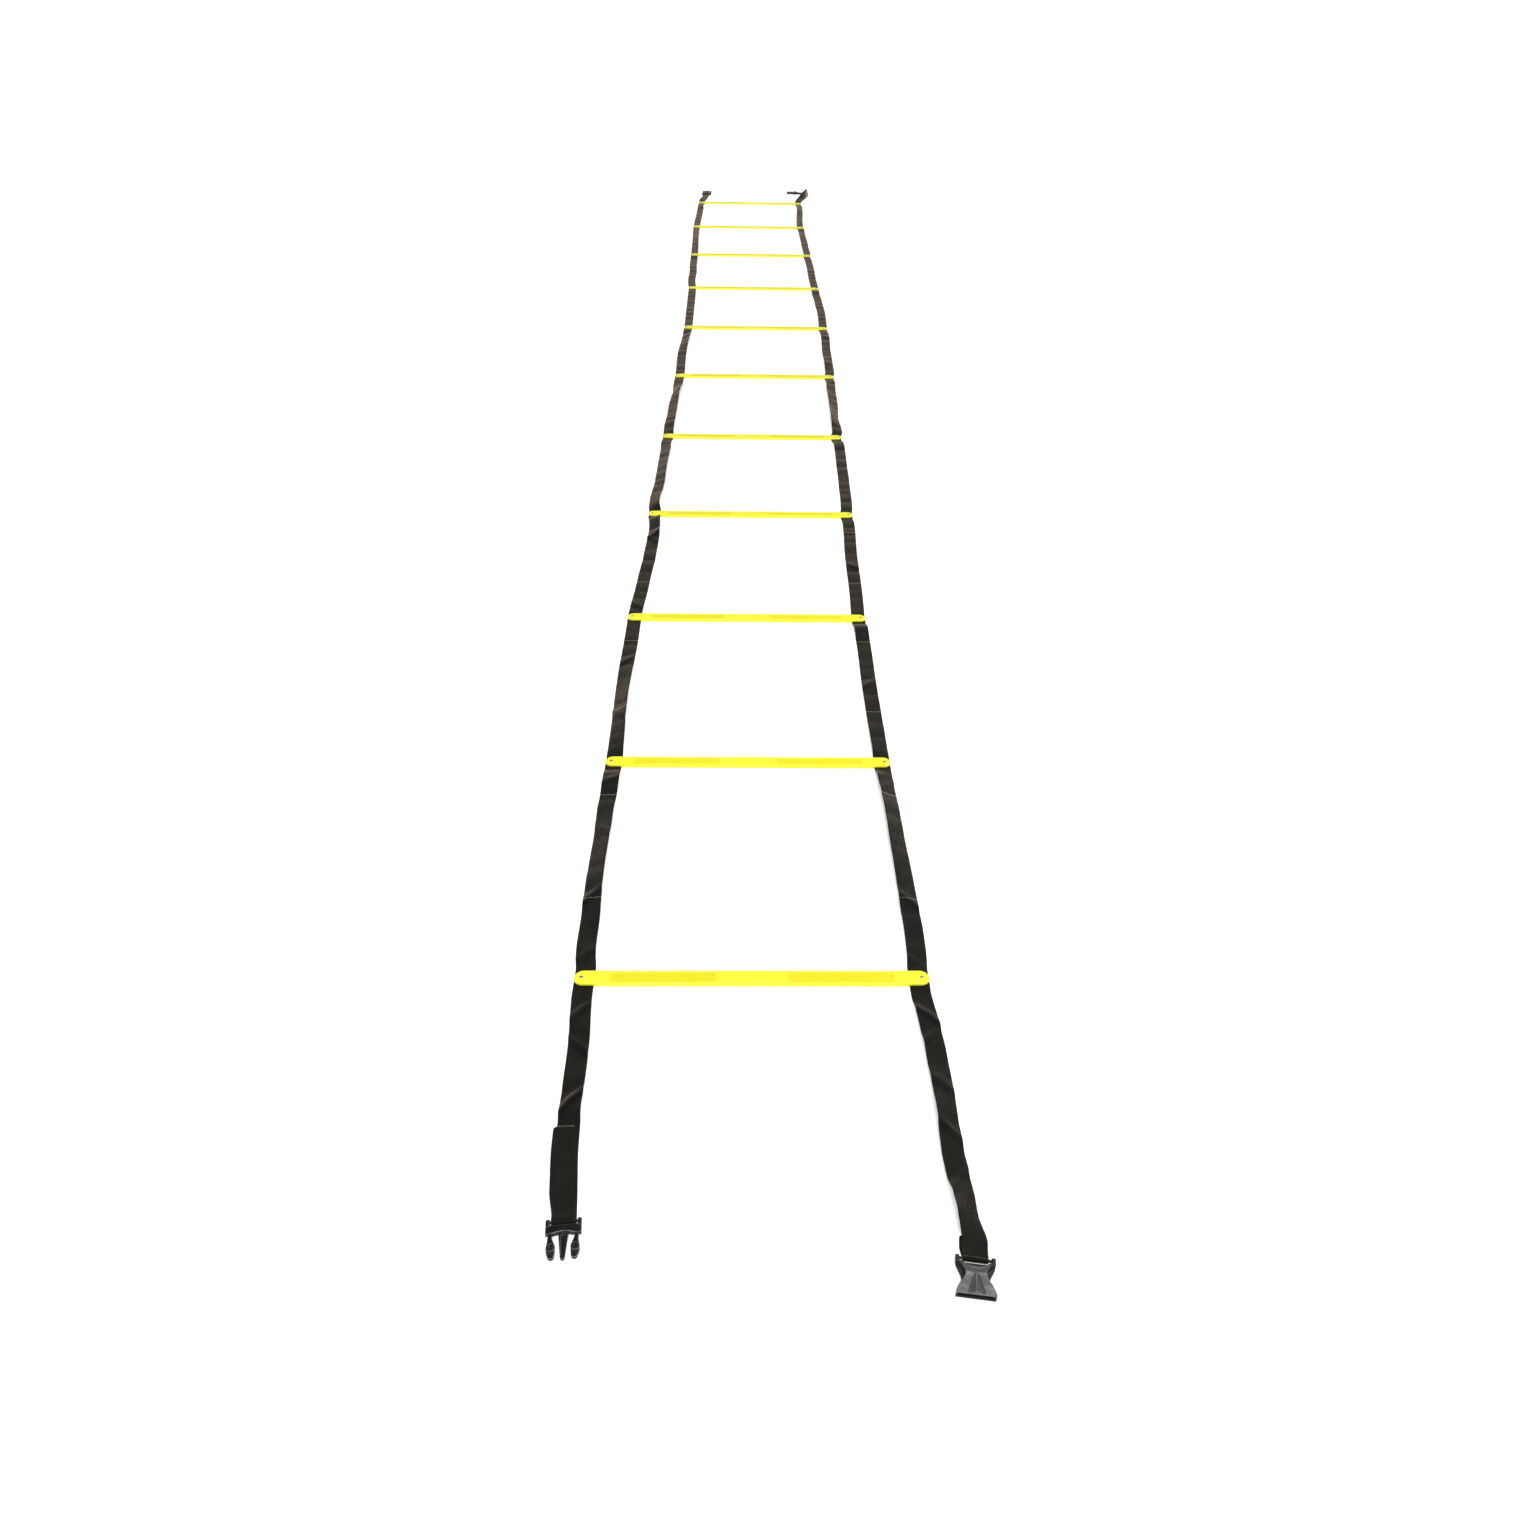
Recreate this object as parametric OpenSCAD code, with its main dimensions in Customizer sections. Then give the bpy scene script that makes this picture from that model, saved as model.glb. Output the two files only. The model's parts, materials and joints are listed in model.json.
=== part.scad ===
// Agility ladder: eleven flat plastic rungs riveted on two webbing side straps, with a side-release
// buckle on each of the four strap ends so that ladders can be joined end to end.
// Frame: X across, Y along the ladder, Z up. The origin is on the floor at the ladder's centre.
// The straps are continuous webbing. They are cut only on the lines where they fold.

/* [Ladder] */
// Length of a rung, tip to tip
rung_length = 430; // [400:5:500]
// Distance from one rung to the next
rung_pitch = 435; // [380:5:500]

/* [Rung] */
// Width of a rung, along the ladder
rung_width = 22; // [20:0.5:26]
// Height of a rung's top face over the floor
rung_height = 5.5; // [5:0.1:7]
// Length of one shallow panel in the top face
panel_length = 128; // [80:2:140]
// Length of the raised pad between the two panels
pad_length = 87; // [60:1:100]
// Depth of the panels
panel_depth = 0.8; // [0.4:0.1:1.2]
// Distance of a rivet from the rung's tip
rivet_inset = 9; // [8.5:0.5:11]

/* [Strap] */
// Width of the webbing
strap_width = 25; // [24:0.5:25]
// Thickness of the webbing
strap_thickness = 1.5; // [1.2:0.1:1.8]
// Length of the turned back end on the near left strap
fold_back = 112; // [60:2:120]
// Length of the sewn end under the other three straps
sewn_end = 26; // [20:1:30]

/* [Folding] */
// Distance from a rung's centre line to the fold beside it
fold_offset = 29; // [28:0.5:34]
// Distance from an end rung's centre line to the fold of its loose strap
tail_fold_offset = 20; // [17:0.5:24]

/* [Buckle] */
// Width of the male half
male_width = 35; // [34:0.5:36]
// Width of the female half
female_width = 38.6; // [38:0.2:40]
// Thickness of the female half at its mouth
female_height = 11; // [10:0.5:12]

/* [Hidden] */
$fn = 48;

RUNGS = 11;
MIDDLE = 6;
// How far each rung lies to the right of the ladder's centre line, as it was laid out by hand
RUNG_SHIFT = [-4, -9, -12, -4, 0, 7, 12, 8, -2, -10, -4];
STRAP_X = (rung_length - strap_width) / 2; // strap centre line, from the rung's centre
RIVET_X = rung_length / 2 - rivet_inset;
STRAIGHT = rung_width / 2 + 2; // the strap lies straight this far each side of a rung's centre
HALF_GAP = 0.05; // half the gap between two strap pieces at a fold
WEB = "#26241f";
RUNG_YELLOW = "#f4ee2a";
BUCKLE_BLACK = "#1c1c1b";

function rung_y(k) = (k - MIDDLE) * rung_pitch;
function shift(k) = RUNG_SHIFT[k - 1];
// Sideways place of the ladder's centre line at a place along it
function centre_x(y) =
    lookup(y, [for (k = [1:RUNGS]) for (side = [-1, 1]) [rung_y(k) + side * STRAIGHT, shift(k)]]);
function reversed(list) = [for (i = [len(list) - 1:-1:0]) list[i]];

// ---------------------------------------------------------------- rungs and rivets

RUNG_EDGE = 1.4; // radius of the long top edges
LEDGE_GAP = 0.3; // between a strap's inner edge and the thick part of the rung
PANEL_MARGIN = 3.3; // from the panels to the long edges
PANEL_CORNER = 3;
RIVET_R = 1.5;
RIVET_CLEARANCE = 0.05;
RIVET_HEAD_R = 2.5;
RIVET_HEAD_HEIGHT = 0.6;
RIVET_FOOT_R = 3;
RIVET_FOOT_HEIGHT = 0.5;
RIVET_DIMPLE = 0.3; // depth of the dimple that the head sits in

module rung_section() {
    // Looking along the rung: flat underneath, with both long top edges rounded
    half = rung_width / 2;
    polygon(concat(
        [[-half, 0.6], [-half + 0.6, 0], [half - 0.6, 0], [half, 0.6]],
        [for (a = [0:15:90]) [half - RUNG_EDGE + RUNG_EDGE * cos(a),
                              rung_height - RUNG_EDGE + RUNG_EDGE * sin(a)]],
        [for (a = [90:15:180]) [-half + RUNG_EDGE + RUNG_EDGE * cos(a),
                                rung_height - RUNG_EDGE + RUNG_EDGE * sin(a)]]));
}

module rung_panel() {
    width = rung_width - 2 * PANEL_MARGIN;
    x = (panel_length - 2 * PANEL_CORNER) / 2;
    y = width / 2 - PANEL_CORNER;
    translate([-x - PANEL_CORNER, -y, 0]) cube([2 * (x + PANEL_CORNER), 2 * y, 2]);
    translate([-x, -y - PANEL_CORNER, 0]) cube([2 * x, 2 * (y + PANEL_CORNER), 2]);
    for (i = [-1, 1]) for (j = [-1, 1])
        translate([i * x, j * y, 0]) cylinder(r = PANEL_CORNER, h = 2);
}

module rung(k) {
    ledge = rung_length / 2 - strap_width - LEDGE_GAP;
    color(RUNG_YELLOW) translate([shift(k), rung_y(k), 0]) difference() {
        intersection() {
            rotate([90, 0, 90]) linear_extrude(rung_length, center = true) rung_section();
            union() {
                cube([rung_length - rung_width, rung_width, 3 * rung_height], center = true);
                for (side = [-1, 1])
                    translate([side * (rung_length - rung_width) / 2, 0, -rung_height])
                        cylinder(d = rung_width, h = 3 * rung_height);
            }
        }
        for (side = [-1, 1]) {
            translate([side * (ledge + strap_width), 0, strap_thickness / 2 - 1])
                cube([2 * strap_width, 2 * rung_width, strap_thickness + 2], center = true);
            translate([side * (pad_length + panel_length) / 2, 0, rung_height - panel_depth])
                rung_panel();
            translate([side * RIVET_X, 0, 0])
                cylinder(r = RIVET_R + RIVET_CLEARANCE, h = 2 * rung_height);
            translate([side * RIVET_X, 0, rung_height - RIVET_DIMPLE])
                cylinder(r = RIVET_HEAD_R + 0.2, h = 2);
        }
    }
}

module rivets(k) {
    head_z = rung_height - RIVET_DIMPLE;
    color("silver") for (side = [-1, 1]) translate([shift(k) + side * RIVET_X, rung_y(k), 0]) {
        translate([0, 0, 0.05]) cylinder(r = RIVET_FOOT_R, h = RIVET_FOOT_HEIGHT - 0.05);
        translate([0, 0, 0.05]) cylinder(r = RIVET_R, h = head_z);
        translate([0, 0, head_z])
            cylinder(r1 = RIVET_HEAD_R, r2 = RIVET_HEAD_R - 0.8, h = RIVET_HEAD_HEIGHT);
    }
}

// ---------------------------------------------------------------- side straps

// A strap's outline between two places along the ladder, on the left (-1) or the right (1)
module strap_outline(side, from_y, to_y) {
    bends = [for (k = [1:RUNGS]) for (end = [-1, 1])
                let (y = rung_y(k) + end * STRAIGHT) if (y > from_y && y < to_y) y];
    ys = concat([from_y], bends, [to_y]);
    x = side * STRAP_X;
    polygon(concat([for (y = ys) [centre_x(y) + x + strap_width / 2, y]],
                   [for (y = reversed(ys)) [centre_x(y) + x - strap_width / 2, y]]));
}

// Both straps between two folds, with the rivet holes of the rungs that lie on them
module straps(from_y, to_y) {
    color(WEB) for (side = [-1, 1]) difference() {
        linear_extrude(strap_thickness) strap_outline(side, from_y + HALF_GAP, to_y - HALF_GAP);
        for (k = [1:RUNGS]) if (rung_y(k) > from_y && rung_y(k) < to_y)
            translate([shift(k) + side * RIVET_X, rung_y(k), -1]) {
                cylinder(r = RIVET_R + RIVET_CLEARANCE, h = strap_thickness + 2);
                cylinder(r = RIVET_FOOT_R + 0.1, h = RIVET_FOOT_HEIGHT + 1.02);
            }
    }
}

// The fold beside a rung, on the side that faces the ladder's middle
function inner_fold(k) = rung_y(k) - sign(k - MIDDLE) * fold_offset;
function bay_near_end(k) = k == MIDDLE ? fold_offset : inner_fold(k);
function bay_far_end(k) = k + 1 == MIDDLE ? -fold_offset : inner_fold(k + 1);
// The fold in the middle of a bay: both halves are equally long, so the rungs stay level
function bay_fold(k) = (bay_near_end(k) + bay_far_end(k)) / 2;

module bay_near(k) { straps(bay_near_end(k), bay_fold(k)); }
module bay_far(k) { straps(bay_fold(k), bay_far_end(k)); }

// ---------------------------------------------------------------- loose strap ends

BAR_Z = 3.2; // height of a buckle's strap bar
BAR_R = 1.5;
WRAP_R = 2.4; // centre line of the webbing round the bar
LAYER_Z = 0.8; // centre line of webbing on the floor
SECOND_Z = 2.4; // centre line of webbing on another layer
END_STRAP_Y = (RUNGS - MIDDLE) * rung_pitch + tail_fold_offset; // the loose ends fold here

// Each buckle's bar: place, and the way the buckle points as an angle from +X
NEAR_MALE = [-190.3, -2495.5, -85];
NEAR_FEMALE = [210.3, -2536.8, -98];
FAR_FEMALE = [-192, 2342, 87];
FAR_MALE = [196, 2397, 176];

// Free stretch of each loose end: x, y, and the angle the webbing is turned on its edge. The first
// two points are in line with the strap, so that the end is cut square to it.
NEAR_LEFT_ROUTE = [
    [-206.5, -2195.1, 0], [-206.5, -2200, 0], [-205, -2232, 0], [-203.5, -2276, 0],
    [-202, -2318, 0], [-201.5, -2350, 0]
];
NEAR_RIGHT_ROUTE = [
    [198.5, -2195.1, 0], [198.5, -2200, 0], [200, -2232, 0], [201, -2276, 0], [202, -2318, 0],
    [203.5, -2358, 0], [205, -2396, 0], [207, -2433, 0], [210, -2466, 0], [213, -2486, 0]
];
FAR_LEFT_ROUTE = [
    [-206.5, 2195.1, 0], [-206.5, 2200, 0], [-206, 2215, 0], [-204, 2235, 0], [-200.5, 2257, 0],
    [-197, 2278, 0]
];
FAR_RIGHT_ROUTE = [
    [198.5, 2195.1, 0], [198.5, 2200, 0], [200, 2215, 4], [205, 2238, 12], [214, 2265, 28],
    [225, 2293, 50], [235, 2320, 66], [242, 2345, 74], [244.5, 2366, 72], [243, 2382, 52],
    [239.5, 2391, 26]
];

function direction(a) = [cos(a), sin(a), 0];
function across(a) = [-sin(a), cos(a), 0];
// Height of the webbing's centre line when it is turned on its edge
function turned_z(tilt) = LAYER_Z + (strap_width / 2 - 0.4) * sin(tilt);

// A ring's centre and the direction of its width, for one point of a free stretch
function route_ring(route, i) =
    let (a = route[max(i - 1, 0)], b = route[min(i + 1, len(route) - 1)],
         yaw = atan2(b[1] - a[1], b[0] - a[0]), tilt = route[i][2])
    [[route[i][0], route[i][1], turned_z(tilt)],
     cos(tilt) * across(yaw) + [0, 0, sin(tilt)]];

// Rings along a buckle's axis, from a list of [distance from the bar, height]
function wrap_rings(bar, profile) =
    [for (p = profile) [[bar[0], bar[1], 0] + p[0] * direction(bar[2]) + [0, 0, p[1]],
                        across(bar[2])]];
WRAP = [for (a = [-90:20:90]) [WRAP_R * cos(a), BAR_Z + WRAP_R * sin(a)]];
// Up round the bar, then back along the top
TOP_FOLD = concat([[-fold_back - 18, LAYER_Z], [-60, LAYER_Z], [-8, LAYER_Z]], WRAP,
                  [[-4, 5.2], [-9, 3.7], [-14, 2.7], [-19, SECOND_Z], [-60, SECOND_Z],
                   [-fold_back, SECOND_Z]]);
// Over the bar, then back underneath
UNDER_FOLD = concat([[-sewn_end - 13, 1.2], [-sewn_end - 4, SECOND_Z], [-17, SECOND_Z],
                     [-9, 3.9], [-4, 5.2]],
                    reversed(WRAP), [[-sewn_end, LAYER_Z]]);

// Webbing swept through rings of [centre, width direction]
module webbing(rings) {
    n = len(rings);
    points = [for (i = [0:n - 1])
        let (along = rings[min(i + 1, n - 1)][0] - rings[max(i - 1, 0)][0],
             wide = rings[i][1] * strap_width / 2,
             thick = cross(rings[i][1], along / norm(along)),
             up = thick / norm(thick) * (strap_thickness / 2 - 0.02))
        for (c = [[1, 1], [-1, 1], [-1, -1], [1, -1]]) rings[i][0] + c[0] * wide + c[1] * up];
    sides = [for (i = [0:n - 2]) for (j = [0:3])
        let (a = 4 * i + j, b = 4 * i + (j + 1) % 4)
        for (face = [[a, a + 4, b + 4], [a, b + 4, b]]) face];
    last = 4 * (n - 1);
    color(WEB) polyhedron(points, concat([[0, 1, 2], [0, 2, 3]], sides,
        [[last + 2, last + 1, last], [last + 3, last + 2, last]]));
}

module tail(route, bar, profile) {
    webbing(concat([for (i = [0:len(route) - 1]) route_ring(route, i)],
                   wrap_rings(bar, profile)));
}

// ---------------------------------------------------------------- buckles
// Each half is drawn with its bar over the origin, along X, and points along +Y.

EAR_WIDTH = 3.6;
EAR_R = 3.15; // an ear's rear end is round about the bar, so that it turns clear of the floor
PLATE_START = 4.3; // the first solid in front of the webbing's wrap

module at_bar(bar) { translate([bar[0], bar[1], 0]) rotate(bar[2] - 90) children(); }

module strap_bar(width) {
    translate([-width / 2 + 1, 0, BAR_Z]) rotate([0, 90, 0]) cylinder(r = BAR_R, h = width - 2);
}

module ears(width, front, height) {
    for (side = [-1, 1]) translate([side * (width - EAR_WIDTH) / 2, 0, 0]) {
        translate([-EAR_WIDTH / 2, 0, BAR_Z]) rotate([0, 90, 0])
            cylinder(r = EAR_R, h = EAR_WIDTH);
        translate([-EAR_WIDTH / 2, 0, BAR_Z - EAR_R]) cube([EAR_WIDTH, front, height]);
    }
}

// Male half: frame with an arched front, and a tapered guide tongue
ARCH_R = 31;
TONGUE_END = 40.2;
TONGUE_TIP_R = 2.3;

function tongue_tip() = [for (a = [0:15:180])
    [TONGUE_TIP_R * cos(a), TONGUE_END - TONGUE_TIP_R + TONGUE_TIP_R * sin(a)]];

module male_body() {
    color(BUCKLE_BLACK) {
        strap_bar(male_width);
        ears(male_width, PLATE_START + 1, 2 * EAR_R);
        difference() {
            translate([-male_width / 2, PLATE_START, 0.4]) cube([male_width, 9, 5.6]);
            translate([0, PLATE_START + 7.6 + ARCH_R, -1]) cylinder(r = ARCH_R, h = 9, $fn = 96);
        }
        difference() {
            translate([0, 0, 1.7]) linear_extrude(3)
                polygon(concat([[-5.4, PLATE_START + 4], [5.4, PLATE_START + 4]], tongue_tip()));
            translate([0, 0, 3.9]) linear_extrude(3)
                polygon([[-2.4, PLATE_START + 10], [2.4, PLATE_START + 10], [1.2, TONGUE_END - 4],
                         [-1.2, TONGUE_END - 4]]);
        }
    }
}

// A prong on the right side: a slim neck that widens to an oval catch with a hollow in it
ARM_LINE = [[12.8, 13.8], [13, 17], [12.4, 21], [11.9, 25.5], [12, 29.5], [11.7, 33], [11.3, 35.6]];
ARM_HALF = [1.9, 1.9, 2.8, 4.2, 4.4, 4, 3.3]; // half the prong's width at each of those points

function arm_side(side) = [for (i = [0:len(ARM_LINE) - 2])
    let (a = ARM_LINE[max(i - 1, 0)], b = ARM_LINE[i + 1], along = (b - a) / norm(b - a))
    ARM_LINE[i] + side * ARM_HALF[i] * [along[1], -along[0]]];
function arm_tip() = let (end = len(ARM_LINE) - 1, run = ARM_LINE[end] - ARM_LINE[end - 1],
                          turn = atan2(run[1], run[0]))
    [for (a = [-90:15:90]) ARM_LINE[end] + ARM_HALF[end] * direction_2d(turn + a)];
function direction_2d(a) = [cos(a), sin(a)];

module male_arm(side) {
    color(BUCKLE_BLACK) mirror([side < 0 ? 1 : 0, 0, 0]) translate([0, 0, 1]) difference() {
        linear_extrude(4.4) polygon(concat(arm_side(1), arm_tip(), reversed(arm_side(-1))));
        translate([ARM_LINE[3][0], ARM_LINE[3][1], 2.6]) cylinder(r = 2, h = 3);
    }
}

// Female half: an hourglass shell, open at the mouth, with a release opening in each side and a
// raised vault over the place where the guide tongue goes in
SHELL_END = 38.2;
SHELL_TOP = 9.8;
WALL = 1.9;
WAIST = 5.7; // how far the waist is drawn in on each side
REAR_ARCH = [19, -9.4]; // radius and centre of the hollow rear edge
REAR_FLOOR = 3.6; // the hollow goes down to this height
CAVITY_START = 11.2;
OPENING = [22.8, 16.5, 12.6]; // centre and radius of a side opening
VAULT_START = 17.6;
VAULT_HALF = 9;

module female_outline(inset, from_y, to_y) {
    half = female_width / 2;
    // three circle arcs would leave the waist too sharp, so it follows one cosine
    right = [for (i = [0:16]) let (y = from_y + (to_y - from_y) * i / 16)
        [half - inset - WAIST * (1 - cos(360 * (y - PLATE_START) / (SHELL_END - PLATE_START))) / 2,
         y]];
    polygon(concat(right, [for (p = reversed(right)) [-p[0], p[1]]]));
}

// Half of a flattened cone that lies on the shell's top, its round end at the mouth
module vault() {
    height = female_height - SHELL_TOP + 0.6;
    arc = [for (a = [0:15:180]) [VAULT_HALF * cos(a), SHELL_TOP - 0.6 + height * sin(a)]];
    n = len(arc);
    points = concat([for (p = arc) [p[0], SHELL_END, p[1]]], [[0, VAULT_START, SHELL_TOP - 0.6]]);
    polyhedron(points, concat([[for (i = [0:n - 1]) i]],
                              [for (i = [0:n - 2]) [i + 1, i, n]], [[0, n - 1, n]]));
}

module female_body() {
    low = 2.1; // floor of the cavity
    high = SHELL_TOP - 1.9;
    color(BUCKLE_BLACK) {
        strap_bar(female_width);
        ears(female_width, PLATE_START + 1, 2 * EAR_R);
        vault();
        difference() {
            intersection() {
                linear_extrude(SHELL_TOP) female_outline(0, PLATE_START, SHELL_END);
                // thin at the bar, full height over the waist
                translate([-female_width, 0, 0]) rotate([90, 0, 90]) linear_extrude(2 * female_width)
                    polygon([[PLATE_START, 0.05], [SHELL_END, 0.05], [SHELL_END, SHELL_TOP],
                             [PLATE_START + 12, SHELL_TOP], [PLATE_START, 6.4]]);
            }
            translate([0, 0, low]) linear_extrude(high - low)
                female_outline(WALL, CAVITY_START, SHELL_END + 1);
            for (side = [-1, 1]) translate([side * OPENING[0], OPENING[1], low])
                cylinder(r = OPENING[2], h = female_height, $fn = 72);
            translate([0, REAR_ARCH[1], REAR_FLOOR])
                cylinder(r = REAR_ARCH[0], h = female_height, $fn = 96);
        }
    }
}

// ---------------------------------------------------------------- the whole ladder

rung(1);  // rung_01
rung(2);  // rung_02
rung(3);  // rung_03
rung(4);  // rung_04
rung(5);  // rung_05
rung(6);  // rung_06
rung(7);  // rung_07
rung(8);  // rung_08
rung(9);  // rung_09
rung(10);  // rung_10
rung(11);  // rung_11
rivets(1);  // rivets_01
rivets(2);  // rivets_02
rivets(3);  // rivets_03
rivets(4);  // rivets_04
rivets(5);  // rivets_05
rivets(6);  // rivets_06
rivets(7);  // rivets_07
rivets(8);  // rivets_08
rivets(9);  // rivets_09
rivets(10);  // rivets_10
rivets(11);  // rivets_11
straps(-END_STRAP_Y, inner_fold(1));  // end_straps_near
straps(-fold_offset, fold_offset);  // centre_straps
straps(inner_fold(RUNGS), END_STRAP_Y);  // end_straps_far
bay_near(1);  // bay_01_straps_near
bay_far(1);  // bay_01_straps_far
bay_near(2);  // bay_02_straps_near
bay_far(2);  // bay_02_straps_far
bay_near(3);  // bay_03_straps_near
bay_far(3);  // bay_03_straps_far
bay_near(4);  // bay_04_straps_near
bay_far(4);  // bay_04_straps_far
bay_near(5);  // bay_05_straps_near
bay_far(5);  // bay_05_straps_far
bay_near(6);  // bay_06_straps_near
bay_far(6);  // bay_06_straps_far
bay_near(7);  // bay_07_straps_near
bay_far(7);  // bay_07_straps_far
bay_near(8);  // bay_08_straps_near
bay_far(8);  // bay_08_straps_far
bay_near(9);  // bay_09_straps_near
bay_far(9);  // bay_09_straps_far
bay_near(10);  // bay_10_straps_near
bay_far(10);  // bay_10_straps_far
tail(NEAR_LEFT_ROUTE, NEAR_MALE, TOP_FOLD);  // near_left_tail
tail(NEAR_RIGHT_ROUTE, NEAR_FEMALE, UNDER_FOLD);  // near_right_tail
tail(FAR_LEFT_ROUTE, FAR_FEMALE, UNDER_FOLD);  // far_left_tail
tail(FAR_RIGHT_ROUTE, FAR_MALE, UNDER_FOLD);  // far_right_tail
at_bar(NEAR_MALE) male_body();  // near_male_body
at_bar(NEAR_MALE) male_arm(1);  // near_male_arm_left
at_bar(NEAR_MALE) male_arm(-1);  // near_male_arm_right
at_bar(NEAR_FEMALE) female_body();  // near_female_body
at_bar(FAR_FEMALE) female_body();  // far_female_body
at_bar(FAR_MALE) male_body();  // far_male_body
at_bar(FAR_MALE) male_arm(-1);  // far_male_arm_left
at_bar(FAR_MALE) male_arm(1);  // far_male_arm_right
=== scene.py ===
"""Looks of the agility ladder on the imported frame.

The rungs, rivets, webbing straps and side-release buckles replace the CAD nodes they stand for. Lengths
are in metres, X is across the ladder, Y along it and Z up from the floor. Nothing here is random."""

import json
import math

import bmesh
import bpy
import numpy as np
from mathutils import Matrix, Vector

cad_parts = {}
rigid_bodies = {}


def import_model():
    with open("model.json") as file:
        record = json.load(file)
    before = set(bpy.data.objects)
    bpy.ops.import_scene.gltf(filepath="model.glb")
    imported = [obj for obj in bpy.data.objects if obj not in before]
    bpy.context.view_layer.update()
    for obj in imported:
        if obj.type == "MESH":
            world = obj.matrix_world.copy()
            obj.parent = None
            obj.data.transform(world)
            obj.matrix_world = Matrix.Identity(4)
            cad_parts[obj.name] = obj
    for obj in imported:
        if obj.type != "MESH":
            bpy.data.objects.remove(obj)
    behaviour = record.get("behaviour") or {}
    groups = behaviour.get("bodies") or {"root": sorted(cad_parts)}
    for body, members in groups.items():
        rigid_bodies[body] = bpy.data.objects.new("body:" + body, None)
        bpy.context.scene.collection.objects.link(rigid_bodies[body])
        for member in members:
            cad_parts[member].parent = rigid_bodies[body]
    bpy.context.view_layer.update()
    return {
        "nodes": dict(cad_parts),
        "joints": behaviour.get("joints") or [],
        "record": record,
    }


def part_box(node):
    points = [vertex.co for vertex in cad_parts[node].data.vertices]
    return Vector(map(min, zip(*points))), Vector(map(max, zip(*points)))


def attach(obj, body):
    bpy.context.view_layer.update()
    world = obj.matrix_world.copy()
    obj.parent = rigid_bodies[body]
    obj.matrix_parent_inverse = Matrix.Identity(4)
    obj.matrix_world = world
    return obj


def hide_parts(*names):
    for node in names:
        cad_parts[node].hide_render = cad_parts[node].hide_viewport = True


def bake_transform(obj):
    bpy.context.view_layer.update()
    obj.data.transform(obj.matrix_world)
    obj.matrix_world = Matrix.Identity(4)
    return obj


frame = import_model()
MM = 0.001
RUNGS = 11
JOINTS = {joint["name"]: joint for joint in frame["joints"]}


# ------------------------------------------------------------------ measures from the frame


def rung_name(k):
    return f"rung_{k:02d}"


def centre_of(node):
    low, high = (np.array(corner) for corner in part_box(node))
    return (low + high) / 2


RUNG_AT = {k: centre_of(rung_name(k)) for k in range(1, RUNGS + 1)}
RUNG_LOW, RUNG_HIGH = (np.array(corner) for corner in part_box(rung_name(1)))
RUNG_LENGTH, RUNG_WIDTH, RUNG_HEIGHT = RUNG_HIGH - RUNG_LOW
STRAP_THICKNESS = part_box("centre_straps")[1][2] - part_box("centre_straps")[0][2]
STRAP_WIDTH = 24.5 * MM
STRAP_X = RUNG_LENGTH / 2 - 12.5 * MM
STRAIGHT = RUNG_WIDTH / 2 + 2 * MM  # the strap lies straight this far each side of a rung
RIVET_X = RUNG_LENGTH / 2 - 9 * MM


def ladder_centre(y):
    """Sideways place of the ladder's centre line at places along it."""
    ys, xs = [], []
    for k in range(1, RUNGS + 1):
        ys += [RUNG_AT[k][1] - STRAIGHT, RUNG_AT[k][1] + STRAIGHT]
        xs += [RUNG_AT[k][0]] * 2
    return np.interp(y, ys, xs)


def bump_shape(x, centre, half_length):
    """A smooth hump of height 1 round a centre, and 0 beyond half its length."""
    return np.cos(np.clip((x - centre) / half_length, -1, 1) * math.pi / 2) ** 2


def smooth_step(x, low, high):
    """0 below low, 1 above high, and a smooth rise between."""
    t = np.clip((x - low) / (high - low), 0, 1)
    return t * t * (3 - 2 * t)


# ------------------------------------------------------------------ camera, floor and light

CAMERA_AT = (-0.013, -3.134, 1.0505)
CAMERA_DOWN = math.radians(37.2)
CAMERA_TURN = math.radians(1.398)  # to the right of the ladder's own direction
CAMERA_ROLL = math.radians(1.069)
CAMERA_LENS = 27.07
FLOOR_SIZE = 60.0
FLOOR_GAP = 0.2 * MM  # keeps the floor clear of the faces that lie on it


def make_camera():
    sin_t, cos_t = math.sin(CAMERA_TURN), math.cos(CAMERA_TURN)
    sin_d, cos_d = math.sin(CAMERA_DOWN), math.cos(CAMERA_DOWN)
    right = Vector((cos_t, -sin_t, 0))
    ahead = Vector((sin_t * cos_d, cos_t * cos_d, -sin_d))
    down = Vector((-sin_t * sin_d, -cos_t * sin_d, -cos_d))
    sin_r, cos_r = math.sin(CAMERA_ROLL), math.cos(CAMERA_ROLL)
    across = cos_r * right - sin_r * down
    lower = sin_r * right + cos_r * down
    data = bpy.data.cameras.new("camera")
    data.lens, data.sensor_width = CAMERA_LENS, 36
    data.clip_start, data.clip_end = 0.01, 100
    camera = bpy.data.objects.new("camera", data)
    turn = Matrix((across, -lower, -ahead)).transposed()
    camera.matrix_world = Matrix.Translation(CAMERA_AT) @ turn.to_4x4()
    bpy.context.scene.collection.objects.link(camera)
    bpy.context.scene.camera = camera


def make_light(name, place, target, size, power):
    data = bpy.data.lights.new(name, "AREA")
    data.shape, data.size, data.energy = "DISK", size, power
    light = bpy.data.objects.new(name, data)
    light.location = place
    light.rotation_mode = "QUATERNION"
    light.rotation_quaternion = (Vector(target) - Vector(place)).to_track_quat("-Z", "Y")
    bpy.context.scene.collection.objects.link(light)


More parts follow.
